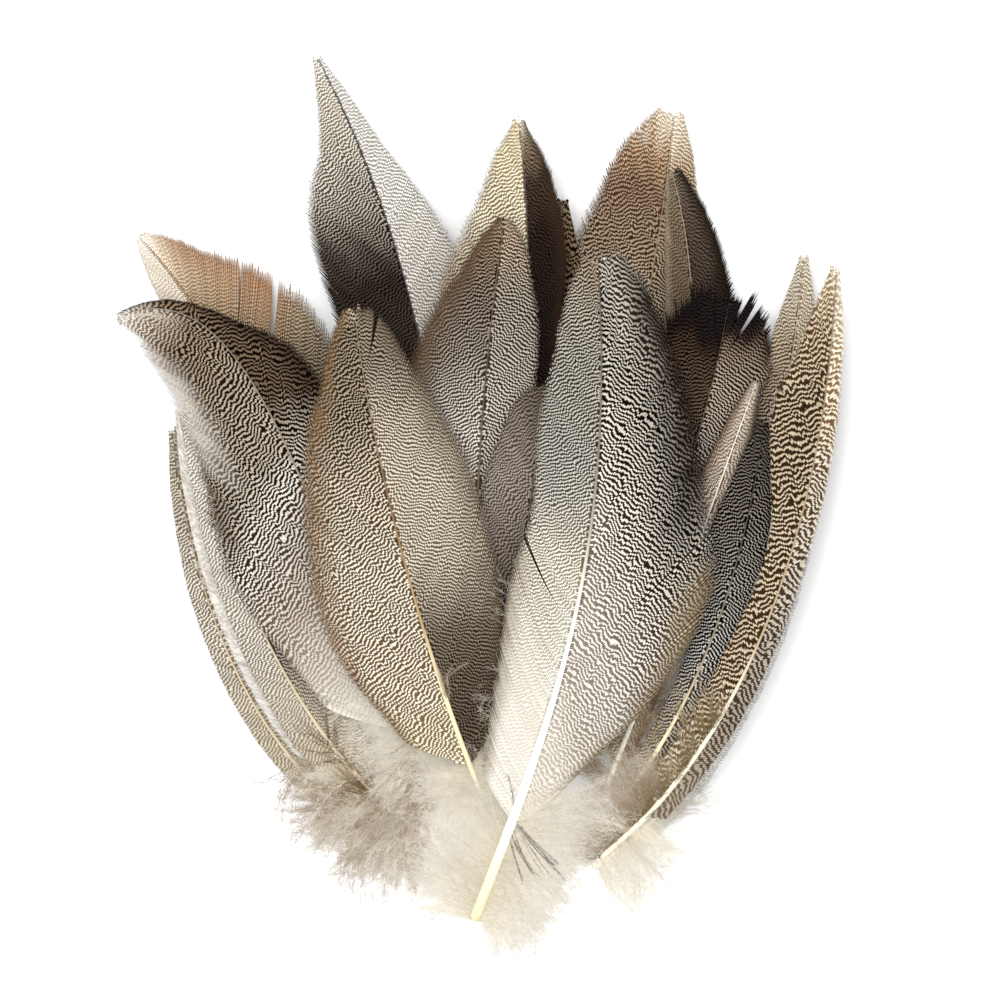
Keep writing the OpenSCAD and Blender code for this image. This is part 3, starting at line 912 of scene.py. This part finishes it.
FEATHERS = {
    "tan_tip": Feather(
        "vane_tan", ((0, CREAM), (0.35, "a58a68"), (1, "a47e58")),
        Look("soft", ((0, "d2c7b6", "f2ece0"), (0.6, "a08a6c", "e6d8c0"), (0.82, "c0ae96", "fff4e2"),
            (0.95, "dccdb8", "fffaf0"), (1, "ece2d2", "fffdf8"))),
        Look("fine", ((0, "8b7a64", "cbbda8"), (0.62, "4b3f32", "b0a48e"), (0.74, "665542", "bfae94"),
            (0.84, "8e7860", "d0bca0"), (0.92, "b39a7c", "eddcc4"), (0.97, "e2cfb4", "fffaf0"),
            (1, "ece2d2", "fffdf8")), edges=(("a5795a", 0.3, 0.7, (0.6, 0.7), (0.96, 0.88)),),
            splits=((0.665, 0.03), (0.75, 0.014)), ragged=0.01),
        (Down(120, 9, IVORY),)),
    "edge_speckled": Feather(
        "vane_speckled", ((0, "cdbfa8"), (0.5, "cdbb9a"), (1, "8a7860")),
        SPECKLED, SPECKLED,
        (Down(200, 12, HAIRY, 0.22, 0.0, 80), tufts(110, 10, BROWN, 0.22, 0.0, 22),
         Down(45, 15, HAIRY, 0.3, 0.02, 82, (LEFT,), 24, 2.2, 14, 0.5))),
    "cream_top": Feather(
        "vane_cream", ((0, CREAM), (0.5, "5a4a38"), (1, "b39a78")),
        Look("maze", (FOOT, (0.5, "2b2218", "f4f0e6"), (0.66, "5f5142", "fff6e4"),
            (0.76, "4b3620", "c4ae93"), (0.86, "5e4532", "a68e78"), (0.92, "7c6044", "cdb595"),
            (0.965, "b5a083", "fff4e2"), (1, "dccfb8", "fffcf4")), splits=((0.84, 0.008),), ragged=0.01),
        Look("fine", (FOOT, (0.5, "2b2218", "dfdbd0"), (0.75, "4b3620", "c4ae93"),
            (0.88, "7d6549", "dccab0"), (0.95, "b5a083", "fff4e2"), (1, "dccfb8", "fffcf4")), ragged=0.01),
        (Down(60, 8, IVORY),)),
    "outer_right": Feather(
        "vane_pale", ((0, CREAM), (0.5, "d6c8b0"), (1, "8d6b48")),
        Look("line", ((0, "e6e2da", "fbf9f5"), (0.7, "e0dcd6", "fffefc"), (0.86, "a5886a", "e6d2ba"),
            (1, "6a4a30", "c9a98a"))),
        Look("line", ((0, "e6e2da", "fbf9f5"), (0.7, "dedcda", "ffffff"), (0.88, "d6c8b8", "fbf6ee"),
            (1, "8d6b48", "dcc2a4"))),
        (Down(200, 13, WHITE, 0.12, 0.0, 85), tufts(40, 12, WHITE, 0.2, 0.1, 20))),
    "edge_white": Feather(
        "vane_pale", ((0, "cdbfa8"), (0.4, "b39b7c"), (1, "9d8468")),
        Look("plain", ((0, "c9bca9", "e6ddcf"), (0.4, "dcd5ca", "f4f0e9"), (1, "cfc5b8", "f7f2ea")),
            loose=0.45),
        Look("plain", ((0, "c9bca9", "e6ddcf"), (0.4, "e2ddd6", "fbf9f6"), (1, "dcd5ca", "fbf8f3")),
            loose=0.45),
        (Down(200, 12, HAIRY, 0.22, 0.0, 75), tufts(80, 10, BROWN, 0.22, 0.0, 24))),
    "tall_grey": Feather(
        "vane_grey", ((0, CREAM), (0.3, "4a3c30"), (0.6, "120e0c"), (0.95, "221a15"), (1, "6a5f52")),
        Look("fine", ((0, "8b7d6c", "d6cdbf"), (0.35, "3a2f28", "6a5d52"), (0.655, "170f0c", "453b34"),
            (0.7, "231a15", "6e6258"), (0.745, "32281f", "b8aea0"), (0.83, "6a6256", "ece5d8"),
            (0.92, "877e6f", "f8f2e6"), (1, "a8a090", "fffdf6"))),
        Look("fine", ((0, "8b7d6c", "d6cdbf"), (0.35, "4c433b", "8d8479"), (0.58, "88817a", "e6e0d6"),
            (0.75, "9e988f", "fbf7ee"), (1, "b3aea4", "fffefa"))),
        (Down(60, 8, IVORY),)),
    "round_dark": Feather(
        "vane_dark", ((0, CREAM), (0.5, "6a5a4a"), (1, "a8957c")),
        Look("soft", (FOOT, (0.5, "4a3c30", "7d6c58"), (0.8, "5a4b3c", "8d7b66"), (1, "5a4c3e", "a5947e")),
            edges=(("b5a48e", 0.6, 0.5),), ragged=0.015),
        Look("soft", (FOOT, (0.5, "1f140e", "30241c"), (0.8, "2b1e17", "52463c"), (1, "3a2e26", "8d7e6c")),
            edges=(("170f0b", 0.4, 0.9),), ragged=0.015),
        (Down(60, 8, IVORY),)),
    "edge_fine": Feather(
        "vane_speckled", ((0, "d3c6af"), (0.4, "cdbf9f"), (1, "9a8a70")),
        Look("fine", ((0, "b5a590", "e6ddcf"), (0.25, "a5957e", "e2d9c8"), (0.5, "8d8376", "f1ece2"),
            (1, "a09a8c", "fffcf2")), loose=0.42),
        Look("fine", ((0, "b5a590", "e6ddcf"), (0.25, "a3957f", "e2d8c8"), (0.45, "5a5046", "b8ae9f"),
            (0.62, "5f554a", "bfb5a6"), (0.8, "857b6e", "e2dacc"), (1, "a09a8c", "fffcf2")), loose=0.3),
        (Down(220, 12, IVORY, 0.22, 0.0, 75), tufts(200, 10, BROWN, 0.26, 0.0, 22),
         Down(120, 15, HAIRY, 0.16, 0.0, 100, (LEFT,), 50, 2.4, 20, 0.6))),
    "pale_right": Feather(
        "vane_pale", ((0, CREAM), (0.5, "c9b692"), (1, "b39b74")),
        Look("fine", ((0, "b5a68e", "ece3d2"), (0.7, "392515", "cabaa2"), (0.84, "6a563e", "dccdb4"),
            (1, "a39680", "fffaec"))),
        Look("fine", ((0, "b5a68e", "ece3d2"), (0.7, "4a3420", "cabaa2"), (0.84, "877355", "ece0cc"),
            (1, "a39680", "fffaec"))),
        (Down(60, 9, IVORY),)),
    "tiger": Feather(
        "vane_tan", ((0, CREAM), (0.5, "2a1c12"), (1, "3a281a")),
        TIGER, TIGER,
        (Down(40, 8, IVORY),)),
    "zebra": Feather(
        "vane_zebra", ((0, "ded3be"), (0.4, "b0a48f"), (0.8, "6f6356"), (1, "8d8272")),
        Look("zebra", ((0, "e6dfd4", "faf7f1"), (0.2, "dcd4c6", "f6f0e6"), (0.32, "c0b5a5", "f2ece0"),
            (0.41, "85786a", "e6ddd0"), (0.5, "5f5246", "f0e8dc"), (0.57, "3a2d22", "fff8ec"),
            (0.63, "30241a", "d2c6b4"), (0.78, "2a1c12", "bfae98"), (0.88, "3a2818", "ad9a82"),
            (0.95, "85786a", "e8dece"), (1.0, "b8ac9c", "fffcf4")),
            edges=(("f4f0e8", 0.5, 0.7, (0.44, 0.54), (0.76, 0.66)),
            ("4a3828", 0.5, 0.45, (0.26, 0.34), (0.46, 0.4))), loose=0.2, ragged=0.03, sweep=1.2),
        Look("zebra", ((0, "d6cdbf", "f2ece2"), (0.25, "a59a8a", "e2dacc"), (0.4, "4c3f33", "e6dfd2"),
            (0.52, "251a12", "fffdf4"), (0.6, "170e09", "dccfbc"), (0.68, "120905", "7a6652"),
            (0.84, "150903", "84705a"), (0.92, "3a2818", "a8937a"), (1, "a89c8a", "fffcf4")),
            edges=(("140a06", 0.45, 0.7, (0.5, 0.65)),)),
        (Down(380, 12, IVORY, 0.14, 0.0, 75), Down(380, 12, WHITE, 0.38, 0.1, 52, (RIGHT,)),
         Down(380, 13, WHITE, 0.18, 0.0, 30),
         Down(130, 15, HAIRY, 0.12, 0.0, 108, (LEFT,), 50, 2.6, 16, 0.5),
         tufts(90, 10, HAIRY, 0.42, 0.1, 35))),
    "black_tip": Feather(
        "vane_dark", ((0, CREAM), (0.5, "6a543e"), (1, "15100e")),
        Look("fine", ((0, "c4b598", "efe6d4"), (0.3, "4d3f30", "d8cfc2"), (0.6, "2d2119", "b0a598"),
            (0.74, "1d120a", "857260"), (0.86, "140803", "6a5544"), (0.9, "120d0d", "3a2c24"),
            (0.925, "120d0d", "292324"), (1, "120d0d", "342d2c")), splits=((0.9, 0.04), (0.95, 0.05)),
            ragged=0.06),
        Look("fine", ((0, "c4b598", "efe6d4"), (0.3, "4d3f30", "d8cfc2"), (0.62, "2d2119", "cac1b6"),
            (0.82, "2a1a0e", "c8b8a4"), (0.88, "1d120d", "a8947e"), (0.92, "120d0d", "4a3a30"),
            (0.945, "120d0d", "292324"), (1, "120d0d", "342d2c")), splits=((0.87, 0.05), (0.91, 0.07),
            (0.95, 0.06)), ragged=0.12),
        (Down(80, 9, OCHRE),)),
    "cream_back": Feather(
        "vane_cream", ((0, CREAM), (0.5, "3a2c22"), (0.9, "4a3828"), (1, "8d7454")),
        Look("fine", ((0, "a4957c", "efe6d4"), (0.5, "5d472f", "bfae94"), (0.72, "5d472f", "d6c9b1"),
            (0.85, "8a7c62", "fff8e4"), (1, "b39b72", "fff8de")), edges=(("a0907a", 0.8, 0.35),),
            ragged=0.015),
        Look("soft", ((0, "a4957c", "efe6d4"), (0.5, "1b110f", "2f2520"), (0.8, "1b110f", "382c25"),
            (0.9, "30231b", "5a4a3d"), (0.96, "5a4430", "b8a88c"), (1, "a8977a", "fffae8")),
            edges=(("3a2a1e", 0.45, 0.85),), ragged=0.01),
        (Down(50, 8, IVORY), Down(2, 5, BROWN, 0.995, 0.985, 8, (RIGHT,), 3, 0.5, 3, 0.2))),
    "pale_strip": Feather(
        "vane_pale", ((0, CREAM), (0.5, "fbf7ec"), (1, "f2e9d8")),
        PALE_STRIP, PALE_STRIP._replace(edges=(("54402e", 0.3, 0.85),)),
        (Down(60, 9, OCHRE),)),
    "grey_centre": Feather(
        "vane_grey", ((0, CREAM), (0.3, "8a7356"), (0.7, "4a3a2c"), (1, "6a5038")),
        Look("fine", ((0, "8b7d68", "d6cdbf"), (0.45, "6a6056", "d9d2c6"), (0.62, "5f574e", "f6f0e6"),
            (0.74, "40342a", "b5aa9b"), (0.84, "32261c", "a4978a"), (0.92, "40301f", "ae987e"),
            (1, "5a442c", "c4ac8e")), edges=(("5f4834", 0.5, 0.85),), darker=0.06),
        Look("fine", ((0, "8b7d68", "b5a898"), (0.45, "50463c", "c4bbad"), (0.65, "50463c", "e2dacc"),
            (0.85, "403428", "c4bbad"), (1, "6a5238", "d8c6a8")), edges=(("5a4a3c", 0.85, 0.4),),
            darker=0.05),
        (Down(90, 9, IVORY),)),
    "fine_zebra": Feather(
        "vane_zebra", ((0, CREAM), (0.3, "efe2b8"), (0.45, "a5947a"), (0.7, "4a4038"), (1, "1b1410")),
        FINE_ZEBRA, FINE_ZEBRA,
        (Down(70, 9, OCHRE),)),
    "taupe": Feather(
        "vane_dark", ((0, CREAM), (0.5, "3a2f28"), (1, "6a5d50")),
        TAUPE, TAUPE,
        (Down(240, 9, IVORY, 0.3, 0.0, 80),)),
    "bronze": Feather(
        "vane_bronze", ((0, CREAM), (0.3, "efe6d0"), (0.42, "b59f7c"), (1, "8f7656")),
        Look("bold", ((0, "b3a284", "efe6d4"), (0.3, "5a432c", "e0d0b4"), (0.55, "4f3a24", "e2d2b6"),
            (0.78, "46331f", "d8c8aa"), (0.9, "6a5034", "e6d6ba"), (0.96, "a8916e", "fff6e4"),
            (1, "d0c0a4", "fffaf0")), edges=(("f4efe6", 0.97, 0.6),), darker=0.11),
        Look("bold", ((0, "8d7f6c", "c4b8a6"), (0.3, "564a3f", "b5a998"), (0.5, "5a4c3e", "dcd2c2"),
            (0.68, "6a543c", "f0e6d4"), (0.82, "8d7656", "fff4e0"), (0.92, "b8a482", "fff8ea"),
            (1, "d0c0a4", "fffaf0")), edges=(("efebe4", 0.7, 0.7, (0.35, 0.6)),)),
        (Down(300, 11, WHITE, 0.09, 0.0, 95), Down(240, 12, HAIRY, 0.14, 0.0, 84, (LEFT,)),
         Down(200, 13, HAIRY, 0.05, 0.0, 125, (LEFT,)), tufts(110, 10, OCHRE, 0.26, 0.05, 28, (LEFT,)))),
    "gold_front": Feather(
        "vane_gold", ((0, "e6d9ae"), (0.25, "efe2b8"), (0.36, "b8996a"), (0.6, "7d5f3c"), (1, "8d7454")),
        Look("maze", ((0, "a08d68", "fff9e4"), (0.3, "77664f", "fff8e6"), (0.5, "6f5f4b", "fff8e4"),
            (0.66, "5a4936", "e8dcc6"), (0.78, "3a2c1e", "c0b299"), (0.95, "30231a", "a8987f"),
            (1, "5a4834", "efe4d0")), edges=(("7d5c3c", 0.6, 0.7),), loose=0.06, darker=0.05),
        Look("fine", ((0, "42362b", "7f7263"), (0.2, "372a20", "716454"), (0.34, "483b2d", "978b79"),
            (0.48, "74685a", "e9dfcb"), (0.62, "7a6f5f", "f4ead6"), (0.76, "6a5e4e", "e2d8c4"),
            (0.88, "463a2e", "b0a592"), (1, "3a2c20", "b8a88e")), edges=(("5f5140", 0.5, 0.6),),
            splits=((0.87, 0.06), (0.93, 0.03)), loose=0.1),
        (Down(330, 11, IVORY, 0.07, 0.0, 92), tufts(14, 7, HAIRY, 0.3, 0.06, 24, (RIGHT,)))),
    "front": Feather(
        "vane_zebra", ((0, "e2d6ae"), (0.1, "f4ecd2"), (0.16, "ffffff"), (0.42, "fffdf6"), (0.51, "e6e0d2"),
            (0.6, "a89f92"), (0.7, "7a7066"), (1, "4a4036")),
        Look("fine", ((0, "f6f1e6", "fffdf6"), (0.34, "e6ddce", "fffdf4"), (0.46, "b5aa98", "fffdf2"),
            (0.55, "8d8272", "fdfaed"), (0.64, "5f574c", "e2dfd6"), (0.72, "514a40", "d2cfc5"),
            (0.84, "463d30", "c9c5b8"), (0.92, "33291e", "cfc6b4"), (1, "4b3a28", "c4ae93")),
            edges=(("8f7f68", 0.55, 0.75, (0.5, 0.35)),), splits=((0.46, 0.02),), loose=0.36),
        Look("zebra", ((0, "f2ebde", "fffaf0"), (0.3, "cfc4b4", "fffaf0"), (0.4, "a3968a", "fdf8ec"),
            (0.5, "978c80", "fffcf4"), (0.6, "786c60", "fffdf6"), (0.69, "463a30", "fff8ec"),
            (0.78, "2b2019", "efe7d8"), (0.9, "140d0a", "d6cfc0"), (1, "463b32", "e2dacb")),
            edges=(("1a0f08", 0.35, 0.97, (0.36, 0.55), (0.95, 0.8)), ("86704f", 0.45, 0.85, (0.42, 0.32))),
            splits=((0.42, 0.006),), loose=0.2, darker=0.04, sweep=2.0),
        (tufts(36, 21, WHITE, 0.42, 0.2, 33, (LEFT,), 5, 0.5), under(380, 13, WHITE, 0.17),
         under(380, 12, WHITE, 0.12), under(360, 14, IVORY, 0.12, 0.02, 108, (RIGHT,)),
         under(300, 11, IVORY, 0.24, 0.08, 48), under(380, 15, WHITE, 0.14, 0.0, 85),
         under(340, 17, IVORY, 0.2, 0.05, 96, (RIGHT,)), under(200, 18, IVORY, 0.2, 0.02, 70, (LEFT,)),
         tufts(24, 17, WHITE, 0.175, 0.15, 62, (RIGHT,), 6),
         Down(9, 15, INK, 0.17, 0.15, 124, (RIGHT,), 60, 1.1, 3, 0.22),
         Down(6, 11, INK, 0.16, 0.14, 140, (RIGHT,), 60, 1.0, 3, 0.22),
         tufts(5, 9, INK, 0.2, 0.14, 20, (LEFT,), 9))),
}


# ---------------------------------------------------------------- making the object


def make_floor():
    half = FLOOR_SIZE / 2
    mesh = bpy.data.meshes.new("floor")
    mesh.from_pydata([(-half, -half, 0), (half, -half, 0), (half, half, 0), (-half, half, 0)],
                     [], [(0, 1, 2, 3)])
    floor = new_piece("floor", mesh, {})
    mesh.materials.append(Graph("floor").finish(FLOOR_COLOUR, FLOOR_ROUGHNESS))


def make_feather(feather, seed):
    rng = np.random.default_rng(seed)
    looks = FEATHERS[feather]
    shaft = Shaft(feather)
    make_shaft(feather, shaft, looks.shaft, rng)
    for side, look in ((LEFT, looks.left), (RIGHT, looks.right)):
        make_vane(feather, shaft, side, look, rng)
    for number, down in enumerate(looks.down):
        for piece in make_down(feather, number, shaft, down, rng):
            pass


make_camera()
make_light()
make_floor()
for seed, feather in enumerate(FEATHERS):
    make_feather(feather, seed)
